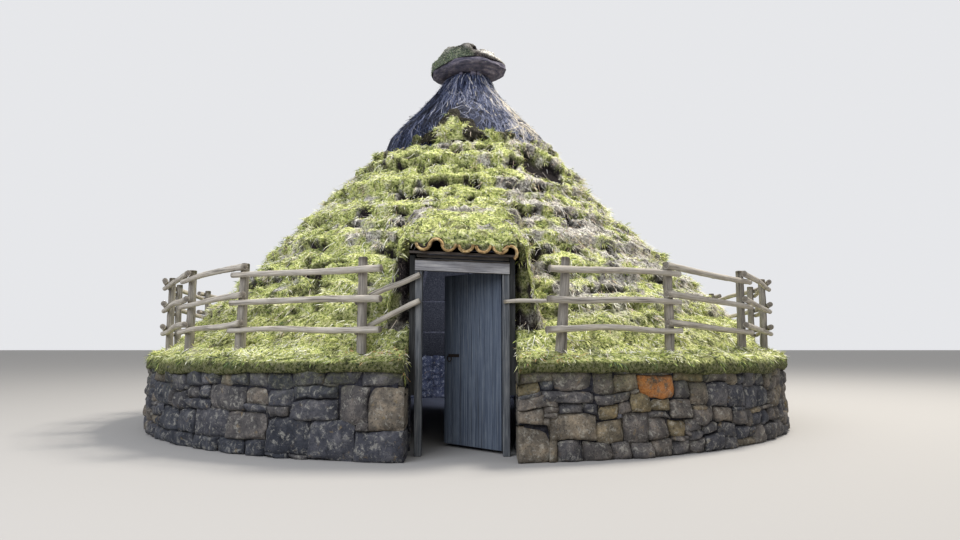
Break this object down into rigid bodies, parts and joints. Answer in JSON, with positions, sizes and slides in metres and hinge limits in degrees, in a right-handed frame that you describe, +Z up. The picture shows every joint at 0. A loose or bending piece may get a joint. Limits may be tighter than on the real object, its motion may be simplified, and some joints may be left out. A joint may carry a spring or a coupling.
{
  "type": "shepherd hut",
  "caption": "Round dry-stone shepherd hut with a turfed cone roof, thatch cap and capstone, a rail fence on the eaves and a hinged plank door.",
  "frame": {"origin": "on level ground, at the centre of the ring wall", "axes": "+Z up, -Y out through the doorway, +X to the right for a person who faces the doorway from outside"},
  "size_m": [9.24, 9.2088, 5.91],
  "materials": {
    "rubble_stone": "rough dry-laid lava rubble",
    "turf": "growing grass on cut sods",
    "brush": "dry brushwood and broom",
    "pole_wood": "peeled poles, darkened",
    "thatch": "weathered straw",
    "capstone": "rough split slab, stained",
    "sods": "mossy sods",
    "frame_wood": "weathered, unpainted",
    "board_wood": "weathered, unpainted",
    "clay": "unglazed fired clay",
    "fence_wood": "weathered round poles",
    "door_wood": "weathered blue-grey boards",
    "iron": "dark forged iron"
  },
  "bodies": {
    "hut": {"brush_lining": "brush", "cap_sods": "sods", "capstone": "capstone", "cheek_boards": "board_wood", "door_jambs": "frame_wood", "door_tiles": "clay", "fence_bottom_rails": "fence_wood", "fence_middle_rails": "fence_wood", "fence_posts": "fence_wood", "fence_top_rails": "fence_wood", "head_beam": "frame_wood", "hoops": "pole_wood", "jamb_rails": "fence_wood", "lintel_board": "frame_wood", "pintles": "iron", "rafters": "pole_wood", "thatch_cap": "thatch", "tile_deck": "board_wood", "turf_hood": "turf", "turf_left_1": "turf", "turf_left_2": "turf", "turf_left_3": "turf", "turf_left_4": "turf", "turf_left_5": "turf", "turf_over_door": "turf", "turf_right_1": "turf", "turf_right_2": "turf", "turf_right_3": "turf", "turf_right_4": "turf", "turf_right_5": "turf", "wall_left_1": "rubble_stone", "wall_left_2": "rubble_stone", "wall_left_3": "rubble_stone", "wall_left_4": "rubble_stone", "wall_left_5": "rubble_stone", "wall_right_1": "rubble_stone", "wall_right_2": "rubble_stone", "wall_right_3": "rubble_stone", "wall_right_4": "rubble_stone", "wall_right_5": "rubble_stone"},
    "door": {"door_boards": "door_wood", "door_ledges": "door_wood", "strap_hinges": "iron", "latch": "iron"}
  },
  "joints": [
    {"name": "door_hinge", "type": "hinge", "parent": "hut", "child": "door", "pos_m": [0.45, -3.9635, 1], "axis": [0, 0, 1], "range_deg": [-45, 45]}
  ]
}
